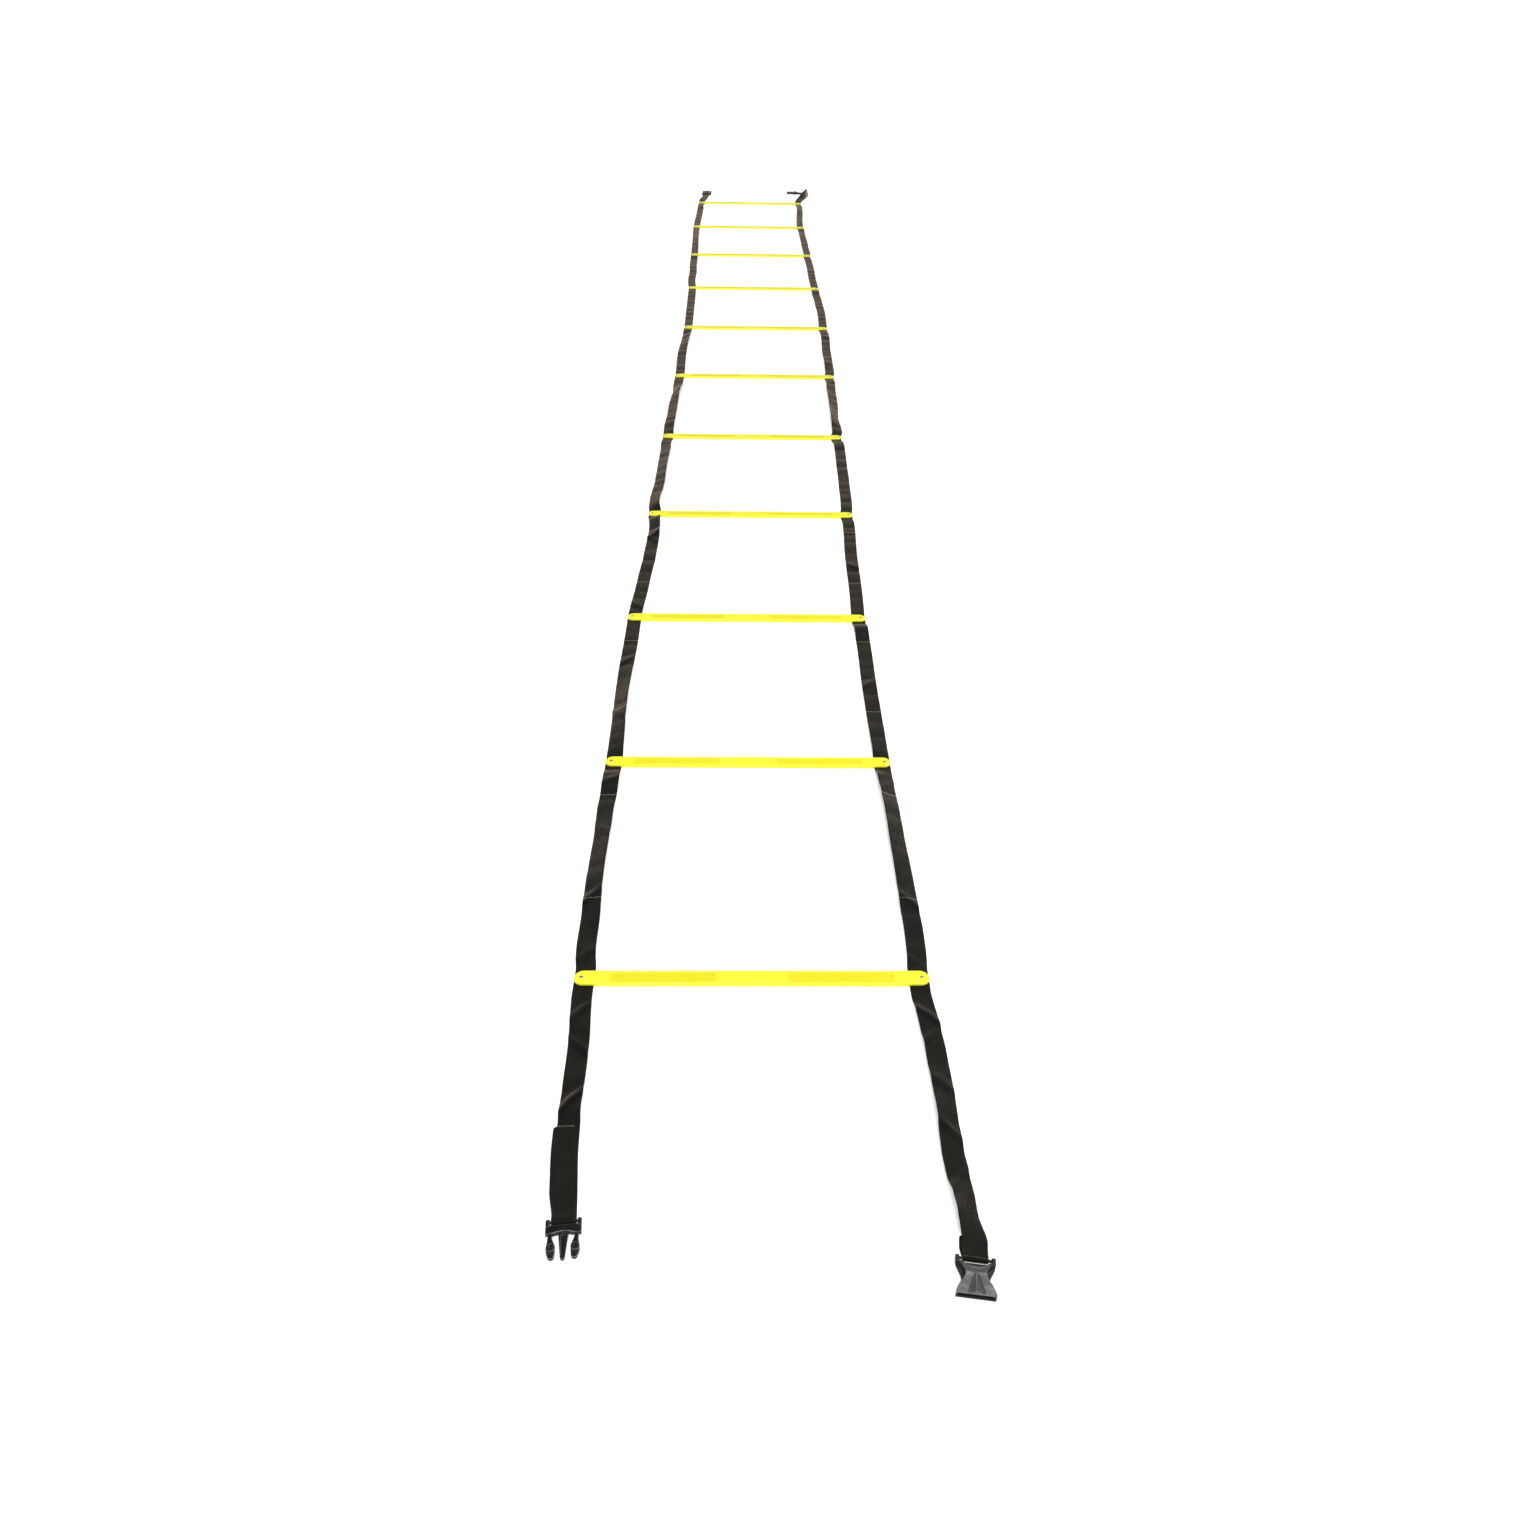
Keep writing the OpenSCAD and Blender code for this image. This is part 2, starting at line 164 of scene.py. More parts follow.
def make_sun(towards, strength, width):
    """One very wide, soft lamp that lights the whole length of the ladder evenly.

    width is the angle in degrees that it fills in the sky."""
    data = bpy.data.lights.new("sun", "SUN")
    data.energy, data.angle, data.color = strength, math.radians(width), (1.0, 0.99, 0.97)
    sun = bpy.data.objects.new("sun", data)
    sun.rotation_mode = "QUATERNION"
    sun.rotation_quaternion = (-Vector(towards)).to_track_quat("-Z", "Y")
    bpy.context.scene.collection.objects.link(sun)


def make_world():
    """A studio that is bright all round at the height of the floor and dim overhead."""
    world = bpy.data.worlds.new("studio")
    bpy.context.scene.world = world
    world.use_nodes = True
    tree = world.node_tree
    background = tree.nodes["Background"]
    background.inputs["Color"].default_value = (1.0, 0.985, 0.96, 1)
    place = tree.nodes.new("ShaderNodeTexCoord").outputs["Generated"]
    split = tree.nodes.new("ShaderNodeSeparateXYZ")
    tree.links.new(place, split.inputs[0])
    dim = tree.nodes.new("ShaderNodeMapRange")
    dim.interpolation_type = "SMOOTHSTEP"
    for socket, value in zip(dim.inputs[1:5], (0.05, 0.55, 1.0, 0.2)):
        socket.default_value = value
    tree.links.new(split.outputs["Z"], dim.inputs[0])
    tree.links.new(dim.outputs[0], background.inputs["Strength"])


def make_surroundings():
    make_world()
    make_sun(towards=(0.0, -0.35, 0.85), strength=2.35, width=40)
    make_light("overhead", place=(0.75, -1.55, 1.8), target=(0.2, -2.55, 0), size=0.6, power=13)
    half = FLOOR_SIZE / 2
    mesh = bpy.data.meshes.new("floor")
    mesh.from_pydata([(-half, -half, 0), (half, -half, 0), (half, half, 0), (-half, half, 0)],
                     [], [(0, 1, 2, 3)])
    floor = bpy.data.objects.new("floor", mesh)
    floor.location.z = -FLOOR_GAP
    bpy.context.scene.collection.objects.link(floor)
    mesh.materials.append(floor_material())
    bpy.context.scene.view_settings.view_transform = "Standard"


# ------------------------------------------------------------------ materials

YARN_COLUMN = 3.1 * MM  # width of one column of the webbing's chevrons
YARN_ROW = 1.9 * MM  # length of one row of yarn


class Nodes:
    """A material's node tree, with short calls for what the materials here use."""

    def __init__(self, name):
        self.material = bpy.data.materials.new(name)
        self.material.use_nodes = True
        self.tree = self.material.node_tree
        self.shader = self.tree.nodes["Principled BSDF"]

    def add(self, kind, **inputs):
        node = self.tree.nodes.new(kind)
        for key, value in inputs.items():
            self.feed(node, key, value)
        return node

    def feed(self, node, key, value):
        socket = node.inputs[int(key[1:])] if key[0] == "i" and key[1:].isdigit() else \
            node.inputs[key.replace("_", " ")]
        if isinstance(value, bpy.types.NodeSocket):
            self.tree.links.new(value, socket)
        else:
            socket.default_value = value

    def math(self, operation, a, b=0.0, c=0.0):
        node = self.tree.nodes.new("ShaderNodeMath")
        node.operation = operation
        for i, value in enumerate((a, b, c)):
            self.feed(node, f"i{i}", value)
        return node.outputs[0]

    def place(self):
        return self.add("ShaderNodeTexCoord").outputs["Object"]

    def attribute(self, name, output):
        node = self.add("ShaderNodeAttribute")
        node.attribute_name = name
        return node.outputs[output]

    def noise(self, vector, scale, detail=3.0, roughness=0.5):
        return self.add("ShaderNodeTexNoise", Vector=vector, Scale=scale, Detail=detail,
                        Roughness=roughness).outputs["Fac"]

    def between(self, value, low, high, out_low=0.0, out_high=1.0):
        node = self.add("ShaderNodeMapRange", i0=value, i1=low, i2=high, i3=out_low, i4=out_high)
        return node.outputs[0]

    def mix(self, share, a, b):
        node = self.tree.nodes.new("ShaderNodeMix")
        node.data_type = "RGBA"
        self.feed(node, "i0", share)
        self.feed(node, "i6", a)
        self.feed(node, "i7", b)
        return node.outputs[2]

    def bump(self, height, distance, strength=1.0, normal=None):
        node = self.add("ShaderNodeBump", Height=height, Distance=distance, Strength=strength)
        if normal is not None:
            self.feed(node, "Normal", normal)
        return node.outputs[0]

    def finish(self, **inputs):
        for key, value in inputs.items():
            self.feed(self.shader, key, value)
        return self.material


def floor_material():
    nodes = Nodes("floor")
    grain = nodes.noise(nodes.place(), 3.0, 4.0)
    colour = nodes.mix(grain, (0.86, 0.86, 0.855, 1), (0.9, 0.9, 0.895, 1))
    return nodes.finish(Base_Color=colour, Roughness=0.9, Specular_IOR_Level=0.1,
                        Emission_Color=(1, 1, 1, 1), Emission_Strength=0.35)


def rung_material():
    """Glossy moulded yellow plastic, paler where it was rubbed, and darker and greener in its shallow
    panels, painted shade.
    """
    nodes = Nodes("yellow_plastic")
    place = nodes.place()
    rim = nodes.attribute("rim", "Fac")
    panel = nodes.attribute("panel", "Fac")
    cloud = nodes.between(nodes.noise(place, 14.0, 4.0), 0.35, 0.65)
    colour = nodes.mix(cloud, (0.84, 0.81, 0.028, 1), (0.88, 0.87, 0.05, 1))
    # the shallow panels are painted darker and greener, painted shade in the recesses
    colour = nodes.mix(nodes.math("MULTIPLY", panel, 0.7), colour, (0.76, 0.68, 0.012, 1))
    scuff = nodes.between(nodes.noise(place, 160.0, 6.0, 0.7), 0.56, 0.7)
    rubbed = nodes.math("MULTIPLY", rim, scuff)
    colour = nodes.mix(nodes.math("MULTIPLY", rubbed, 0.5), colour, (0.97, 0.95, 0.4, 1))
    specks = nodes.between(nodes.noise(place, 420.0, 2.0), 0.7, 0.78)
    colour = nodes.mix(nodes.math("MULTIPLY", specks, 0.3), colour, (0.42, 0.36, 0.05, 1))
    roughness = nodes.between(nodes.noise(place, 60.0, 5.0, 0.65), 0.3, 0.7, 0.27, 0.42)
    skin = nodes.bump(nodes.noise(place, 1400.0, 2.0), 0.06 * MM, 0.5)
    wave = nodes.bump(nodes.noise(place, 45.0, 2.0), 0.4 * MM, 0.3, skin)
    return nodes.finish(Base_Color=colour, Roughness=roughness, Normal=wave, IOR=1.49,
                        Specular_IOR_Level=0.3, Subsurface_Weight=0.08, Subsurface_Scale=0.003,
                        Subsurface_Radius=(1.0, 0.9, 0.1))


def webbing_material():
    """Black woven webbing: chevron columns of yarn, firm edges, and a pale sheen at low angles."""
    nodes = Nodes("webbing")
    web = nodes.attribute("web", "Vector")
    split = nodes.add("ShaderNodeSeparateXYZ", Vector=web)
    across, along = split.outputs[0], split.outputs[1]
    column = nodes.math("MULTIPLY", across, 1 / YARN_COLUMN)
    slant = nodes.math("PINGPONG", column, 0.5)
    row = nodes.math("MULTIPLY_ADD", along, 1 / YARN_ROW, nodes.math("MULTIPLY", slant, 1.6))
    yarn = nodes.math("ABSOLUTE", nodes.math("SINE", nodes.math("MULTIPLY", row, math.pi)))
    rib = nodes.math("ABSOLUTE", nodes.math("SINE", nodes.math("MULTIPLY", column, 2 * math.pi)))
    weave = nodes.math("MULTIPLY", nodes.math("POWER", yarn, 0.6), nodes.math("POWER", rib, 0.35))
    lint = nodes.noise(web, 900.0, 3.0, 0.6)
    worn = nodes.between(nodes.noise(web, 28.0, 5.0, 0.6), 0.4, 0.72)
    # the weave's colour is darker in the gaps between yarns, painted shade, and paler on the yarn tops,
    # a painted highlight
    colour = nodes.mix(weave, (0.0011, 0.0013, 0.001, 1), (0.0058, 0.0064, 0.005, 1))
    colour = nodes.mix(nodes.math("MULTIPLY", worn, 0.6), colour, (0.0155, 0.016, 0.0125, 1))
    colour = nodes.mix(nodes.between(lint, 0.66, 0.8, 0.0, 0.2), colour, (0.05, 0.045, 0.038, 1))
    # the fold attribute paints a highlight on one side of each fold and shade on its other side
    fold = nodes.attribute("fold", "Fac")
    ridge, fold_shade = nodes.between(fold, 0.1, 0.8), nodes.between(fold, -0.8, -0.1, 0.85, 0.0)
    colour = nodes.mix(ridge, colour, (0.014, 0.0145, 0.012, 1))
    colour = nodes.mix(fold_shade, colour, (0.0004, 0.0004, 0.0003, 1))
    height = nodes.math("MULTIPLY_ADD", lint, 0.25, weave)
    normal = nodes.bump(height, 0.25 * MM, 0.9)
    return nodes.finish(Base_Color=colour, Roughness=0.62, Normal=normal,
                        Specular_IOR_Level=0.12, Sheen_Weight=0.8, Sheen_Roughness=0.3,
                        Sheen_Tint=(1.0, 0.79, 0.62, 1))


def buckle_material(name, dark, light, edge_highlight, rough, gloss):
    """Black moulded plastic with a fine spark-eroded skin, painted paler in patches on its top and more
    on its top edges, a painted highlight, and left dark below, painted shade.

    The three greys are of its plastic below the top, of the painted highlight on its top, and of the
    painted highlight on its top edges."""
    nodes = Nodes(name)
    place = nodes.place()
    # this mask is 1 on the top, where the colour gets a painted highlight, and 0 below, where it stays
    # dark as painted shade
    worn = nodes.attribute("worn", "Fac")
    highlight_patches = nodes.between(nodes.noise(place, 120.0, 5.0, 0.6), 0.42, 0.7, 0.55, 1.0)
    rubbed = nodes.math("MULTIPLY", worn, highlight_patches)
    colour = nodes.mix(rubbed, (dark, dark, dark, 1), (light, light, light * 0.97, 1))
    # the convex edges of the top are painted paler, a painted highlight
    edge = nodes.between(nodes.attribute("edge", "Fac"), 0.035, 0.16)
    edge = nodes.math("MULTIPLY", edge, worn)
    colour = nodes.mix(edge, colour, (edge_highlight, edge_highlight, edge_highlight * 0.96, 1))
    roughness = nodes.between(nodes.noise(place, 260.0, 5.0, 0.7), 0.3, 0.7, rough, rough + 0.16)
    roughness = nodes.math("MULTIPLY_ADD", rubbed, -0.3, nodes.math("ADD", roughness, 0.3))
    scratch = nodes.noise(place, 700.0, 6.0, 0.75)
    skin = nodes.bump(nodes.noise(place, 2600.0, 2.0), 0.04 * MM, 0.6)
    return nodes.finish(Base_Color=colour, Roughness=roughness, IOR=1.5, Specular_IOR_Level=gloss,
                        Normal=nodes.bump(scratch, 0.05 * MM, 0.35, skin))


def rivet_material():
    nodes = Nodes("rivet_steel")
    place = nodes.place()
    colour = nodes.mix(nodes.between(nodes.noise(place, 900.0, 4.0), 0.35, 0.7),
                       (0.5, 0.49, 0.45, 1), (0.3, 0.29, 0.26, 1))
    roughness = nodes.between(nodes.noise(place, 1500.0, 3.0), 0.3, 0.7, 0.22, 0.45)
    normal = nodes.bump(nodes.noise(place, 3000.0, 2.0), 0.04 * MM, 0.5)
    return nodes.finish(Base_Color=colour, Roughness=roughness, Metallic=1.0, Normal=normal)


# ------------------------------------------------------------------ meshes


def make_piece(name, points, faces, material):
    mesh = bpy.data.meshes.new(name)
    mesh.from_pydata([tuple(p) for p in points], [], [tuple(f) for f in faces])
    mesh.materials.append(material)
    mesh.shade_smooth()
    return add_piece(name, mesh)


def add_piece(name, mesh):
    piece = bpy.data.objects.new(name, mesh)
    bpy.context.scene.collection.objects.link(piece)
    return piece


def set_attribute(piece, name, values, kind="FLOAT"):
    attribute = piece.data.attributes.new(name, kind, "POINT")
    key = "vector" if kind == "FLOAT_VECTOR" else "value"
    attribute.data.foreach_set(key, np.asarray(values, np.float32).ravel())


# ------------------------------------------------------------------ rungs

PANEL_DEPTH = 0.8 * MM
PANEL_FROM = 43.5 * MM  # the panels' inner and outer ends, from the rung's middle
PANEL_TO = 171.5 * MM
PANEL_HALF_WIDTH = RUNG_WIDTH / 2 - 3.3 * MM
PANEL_CORNER = 3 * MM
EDGE_R = 1.4 * MM
LEDGE_X = RUNG_LENGTH / 2 - 25.3 * MM  # the thick middle ends here
LEDGE_SLOPE = 0.35 * MM
PANEL_SHOULDER = 0.45 * MM
CROWN = 0.25 * MM
TIP_LENGTH = 14 * MM  # the top face slopes down by TIP_DROP over this length at each end
TIP_DROP = 0.5 * MM
RIVET_DIMPLE = 0.3 * MM
DIMPLE_R = (2.5 * MM, 3.1 * MM)  # of the dimple's flat bottom, and of its rim
MOST_BOW = 0.35 * MM  # how far the middle of a bowed rung stands up
# Rings of the top face, as distances in from the rung's outline, in mm
TOP_RINGS = [0, 0.08, 0.3, 0.65, 1.0, 1.4, 2.0, 2.7, 3.0,
             3.3, 3.6, 4.0, 4.9, 6.0, 7.2, 8.4, 9.6, 10.9]
# Rings of the underside, as distance in from the outline and height, in mm
UNDERSIDE_RINGS = [(7.0, 0), (4.0, 0), (1.6, 0), (0.5, 0), (0.15, 0.15), (0.0, 0.5)]
UNDERSIDE_RIM = 0.2  # how rubbed the underside's edge is
TIP_TURNS = np.radians(np.arange(-82.5, 90, 7.5))  # places round a rung's end
# Places along half a rung's straight side, in mm, closer together where its shape changes
SIDE_MARKS = [0, 12, 24, 36, 41, 42.3, 43.2, 44, 45, 46.5, 50, 62, 75, 88, 101, 114, 127, 140,
              153, 165, 168.5, 170, 171, 171.8, 172.7, 174, 179, 184, 188, 189.4, 190, 191.5,
              195, 199, 203]


def rung_outline(inset):
    """The rung's outline, a stadium, moved in by a distance, anticlockwise from its right end."""
    r = RUNG_WIDTH / 2 - inset
    half = RUNG_LENGTH / 2 - RUNG_WIDTH / 2
    marks = np.array(SIDE_MARKS) * MM
    xs = marks * (half / marks[-1])
    line = np.concatenate([xs[::-1], -xs[1:]])
    right = np.stack([half + r * np.cos(TIP_TURNS), r * np.sin(TIP_TURNS)], 1)
    top = np.stack([line, np.full(len(line), r)], 1)
    return np.concatenate([right, top, -right, -top])


def panel_share(x, y):
    """1 inside a panel, 0 outside, with a soft shoulder."""
    middle = (PANEL_FROM + PANEL_TO) / 2
    dx = np.abs(np.abs(x) - middle) - ((PANEL_TO - PANEL_FROM) / 2 - PANEL_CORNER)
    dy = np.abs(y) - (PANEL_HALF_WIDTH - PANEL_CORNER)
    outside = np.hypot(np.maximum(dx, 0), np.maximum(dy, 0)) + np.minimum(np.maximum(dx, dy), 0)
    return 1 - smooth_step(outside - PANEL_CORNER, -PANEL_SHOULDER, PANEL_SHOULDER)


def rung_top(x, y, inset):
    """Height of the top face at places that lie a distance in from the outline."""
    edge = np.clip(EDGE_R - inset, 0, EDGE_R)
    z = RUNG_HEIGHT - EDGE_R + np.sqrt(EDGE_R**2 - edge**2)
    z = z + CROWN * (np.clip(1 - (y / (RUNG_WIDTH / 2)) ** 2, 0, 1) - 1)
    z = z - TIP_DROP * smooth_step(np.abs(x), RUNG_LENGTH / 2 - TIP_LENGTH, RUNG_LENGTH / 2)
    dimple = 1 - smooth_step(np.hypot(np.abs(x) - RIVET_X, y), *DIMPLE_R)
    return z - PANEL_DEPTH * panel_share(x, y) - RIVET_DIMPLE * dimple


def rung_mesh_data():
    """Points, faces and surface attributes of a rung about its own centre line."""
    points, rings, rim = [], [], []
    for inset, raised in UNDERSIDE_RINGS:
        ring = rung_outline(inset * MM)
        on_strap = smooth_step(np.abs(ring[:, 0]), LEDGE_X, LEDGE_X + LEDGE_SLOPE)
        z = raised * MM + on_strap * STRAP_THICKNESS
        rings.append(len(points))
        points += [(x, y, h) for (x, y), h in zip(ring, z)]
        rim += [UNDERSIDE_RIM] * len(ring)
    for inset in TOP_RINGS:
        ring = rung_outline(inset * MM)
        z = rung_top(ring[:, 0], ring[:, 1], inset * MM)
        rings.append(len(points))
        points += [(x, y, h) for (x, y), h in zip(ring, z)]
        rim += [float(math.exp(-((inset - 0.6) / 0.9) ** 2))] * len(ring)
    count = len(rung_outline(0))
    faces = []
    for a, b in zip(rings, rings[1:]):
        for i in range(count):
            j = (i + 1) % count
            faces.append((a + i, a + j, b + j, b + i))
    arc = len(TIP_TURNS)
    side = (count - 2 * arc) // 2
    for start, flip in ((rings[-1], False), (rings[0], True)):
        faces += closing_faces(start, arc, side, flip)
    points = np.array(points)
    # share is where the rung's top gets painted shade in its panels
    share = panel_share(points[:, 0], points[:, 1]) * (points[:, 2] > RUNG_HEIGHT / 2)
    return points, faces, np.array(rim), share


def closing_faces(start, arc, side, flip):
    """Faces between the two long sides of an outline's innermost ring, and one face at each end."""
    top = [start + arc + i for i in range(side)]
    bottom = [start + 2 * arc + side + i for i in range(side)][::-1]
    faces = [(top[i], top[i + 1], bottom[i + 1], bottom[i]) for i in range(side - 1)]
    faces.append([start + i for i in range(arc)] + [top[0], bottom[0]])
    faces.append([start + arc + side + i for i in range(arc)] + [bottom[-1], top[-1]])
    return [tuple(reversed(f)) for f in faces] if flip else [tuple(f) for f in faces]


def make_rungs(material):
    points, faces, rim, share = rung_mesh_data()
    for k in range(1, RUNGS + 1):
        bow = MOST_BOW * math.sin(2.3 * k) * np.cos(points[:, 0] / RUNG_LENGTH * math.pi) ** 2
        placed = points + [RUNG_AT[k][0], RUNG_AT[k][1], 0]
        placed[:, 2] += np.maximum(bow, 0)  # about half of the rungs bow up, none sinks
        piece = make_piece(f"{rung_name(k)}_slat", placed, faces, material)
        set_attribute(piece, "rim", rim)
        # this mask says where the rung's colour gets painted shade in its panels
        set_attribute(piece, "panel", share)
        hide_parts(rung_name(k))
        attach(piece, body_of_rung(k))


def body_of_rung(k):
    return next(b for b, nodes in frame["record"]["behaviour"]["bodies"].items()
                if rung_name(k) in nodes)


# ------------------------------------------------------------------ rivets

# Radius, and height over the dimple for the head or over the floor for the foot, in mm
RIVET_HEAD = [(0, 0.72), (0.7, 0.7), (1.4, 0.62), (1.95, 0.45), (2.3, 0.2), (2.42, 0.0),
              (2.3, -0.12), (1.5, -0.12)]
RIVET_FOOT = [(1.5, 0.5), (2.9, 0.45), (3.0, 0.3), (3.0, 0.1), (0, 0.1)]
RIVET_TURNS = 24


def make_rivets(material):
    """One piece for the two rivets of each rung."""
    base = RUNG_HEIGHT - CROWN - RIVET_DIMPLE
    profile = [(r, base / MM + h) for r, h in RIVET_HEAD] + RIVET_FOOT
    for k in range(1, RUNGS + 1):
        points, faces = [], []
        for side in (-1, 1):
            centre = RUNG_AT[k] + [side * RIVET_X, 0, 0]
            start = len(points)
            for r, h in profile:
                for i in range(RIVET_TURNS):
                    turn = 2 * math.pi * i / RIVET_TURNS
                    points.append((centre[0] + r * MM * math.cos(turn),
                                   centre[1] + r * MM * math.sin(turn), h * MM))
            for j in range(len(profile) - 1):
                ring = start + j * RIVET_TURNS
                for i in range(RIVET_TURNS):
                    a, b = ring + i, ring + (i + 1) % RIVET_TURNS
                    faces.append((a, a + RIVET_TURNS, b + RIVET_TURNS, b))
        piece = make_piece(f"rivets_{k:02d}_steel", points, faces, material)
        weld(piece)
        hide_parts(f"rivets_{k:02d}")
        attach(piece, body_of_rung(k))


def weld(piece, distance=0.002 * MM):
    """Joins points that lie on each other, and drops the faces that had no area."""
    work = bmesh.new()
    work.from_mesh(piece.data)
    bmesh.ops.remove_doubles(work, verts=work.verts, dist=distance)
    bmesh.ops.recalc_face_normals(work, faces=work.faces)
    work.to_mesh(piece.data)
    work.free()


# ------------------------------------------------------------------ webbing

SECTION_POINTS = 11  # across each face of the webbing
RING_STEP = 2.5 * MM  # between the rings of a side strap
LAID_Z = STRAP_THICKNESS / 2 + 0.02 * MM  # middle of a side strap that lies on the floor
BAY_BEND = 30 * MM  # half the length over which a strap bends in the middle of a bay
RUNG_BEND = 14 * MM  # and beside a rung
END_OVERLAP = 5 * MM  # the loose ends start this far past the middle of the end rungs


def webbing_section():
    """The webbing's cross-section as shares of its half width and half thickness."""
    across = np.sin(np.linspace(-1, 1, SECTION_POINTS) * math.pi / 2)
    bead = 1 + 0.16 * np.exp(-(((np.abs(across) - 0.93) / 0.05) ** 2))
    height = bead * (1 - np.abs(across) ** 14 * 0.45)
    top = np.stack([across, height], 1)
    return np.concatenate([top, [(1.008, 0.0)], top[::-1] * [1, -1], [(-1.008, 0.0)]])


def webbing_piece(name, centres, widths, ups, along, material, lift=None, fold=None):
    """Webbing swept along centres. lift gives how far each point of each ring is moved up, and
    fold is above 0 where a fold's colour gets a painted highlight and below 0 where it gets painted
    shade."""
    section = webbing_section()
    half_width, half_thickness = STRAP_WIDTH / 2, STRAP_THICKNESS / 2 - 0.05 * MM
    rings = (centres[:, None] + section[None, :, :1] * half_width * widths[:, None]
             + section[None, :, 1:] * half_thickness * ups[:, None])
    if lift is not None:
        rings = rings + lift[:, :, None] * ups[:, None]
    count = len(section)
    points = rings.reshape(-1, 3)
    faces = []
    for i in range(len(centres) - 1):
        for j in range(count):
            a, b = i * count + j, i * count + (j + 1) % count
            faces.append((a, a + count, b + count, b))
    faces.append(tuple(range(count)))
    last = (len(centres) - 1) * count
    faces.append(tuple(last + j for j in reversed(range(count))))
    piece = make_piece(name, points, faces, material)
    web = np.zeros((len(centres), count, 3))
    web[:, :, 0] = section[:, 0] * half_width
    web[:, :, 1] = along[:, None]
    set_attribute(piece, "web", web.reshape(-1, 3), "FLOAT_VECTOR")
    # fold carries the painted highlight and painted shade of the folds
    set_attribute(piece, "fold", np.zeros(len(points)) if fold is None else fold)
    return piece


# How the laid straps differ from straight, flat ribbons: side, place along the ladder, half the length
# of the stretch, and the size of it. Left is -1 and right is 1.
ROLLS = [  # degrees by which the webbing is rolled about its own line
    (-1, -1.95, 0.18, 22), (-1, -1.595, 0.21, 26), (-1, -0.93, 0.09, 24), (-1, -0.82, 0.08, 20),
    (-1, -0.63, 0.26, 23), (-1, -0.27, 0.20, 18), (-1, -0.135, 0.09, 31), (-1, 0.31, 0.16, 22),
    (-1, 1.54, 0.22, 24), (-1, 2.12, 0.08, 20), (1, -1.86, 0.30, -24), (1, -0.31, 0.10, -22),
    (1, -0.20, 0.26, -20), (1, 1.62, 0.12, -14), (1, 2.06, 0.18, -20), (1, 0.12, 0.08, -14),
]
HUMPS = [  # metres by which the webbing stands off the floor
    (-1, -1.785, 0.036, 0.0065), (1, -1.350, 0.036, 0.006), (-1, -0.915, 0.040, 0.007),
    (1, -0.48, 0.04, 0.003), (-1, 0.40, 0.04, 0.003), (1, 0.84, 0.045, 0.004),
    (-1, 1.28, 0.045, 0.0035), (1, 1.71, 0.04, 0.004),
]
SWAYS = [  # metres by which the webbing lies off its straight line, positive to the right
    (-1, -2.12, 0.06, -0.002), (-1, -2.00, 0.19, -0.004), (-1, -1.85, 0.07, -0.002),
    (-1, -1.54, 0.19, -0.0025), (-1, -1.20, 0.12, 0.001), (-1, -1.13, 0.16, 0.003),
    (-1, -1.05, 0.11, 0.0045), (-1, -0.955, 0.10, 0.006), (-1, -0.80, 0.10, -0.0045),
    (-1, -0.62, 0.18, -0.001), (-1, -0.47, 0.05, -0.002), (-1, -0.36, 0.08, -0.002),
    (-1, -0.20, 0.19, -0.002), (-1, -0.13, 0.08, 0.002), (-1, 0.20, 0.20, -0.0045),
    (-1, 0.97, 0.14, -0.0045), (-1, 1.15, 0.12, -0.002), (-1, 2.12, 0.07, -0.0025),
    (1, -2.11, 0.08, 0.002), (1, -2.00, 0.19, 0.0035), (1, -1.85, 0.10, 0.002),
    (1, -1.40, 0.14, 0.002), (1, -1.20, 0.12, 0.0012), (1, -0.93, 0.12, 0.002),
    (1, -0.80, 0.10, 0.0025), (1, -0.66, 0.19, 0.0045), (1, -0.50, 0.14, 0.0045),
    (1, -0.38, 0.09, 0.004), (1, -0.20, 0.19, 0.0025), (1, 0.02, 0.14, 0.0035),
    (1, 0.15, 0.15, 0.003), (1, 0.34, 0.16, 0.004), (1, 0.60, 0.22, 0.005), (1, 1.18, 0.20, 0.003),
    (1, 1.36, 0.09, 0.003), (1, 1.52, 0.19, 0.003), (1, 1.68, 0.08, 0.002), (1, 2.06, 0.22, 0.005),
    (1, 0.75, 0.07, 0.0015),
]
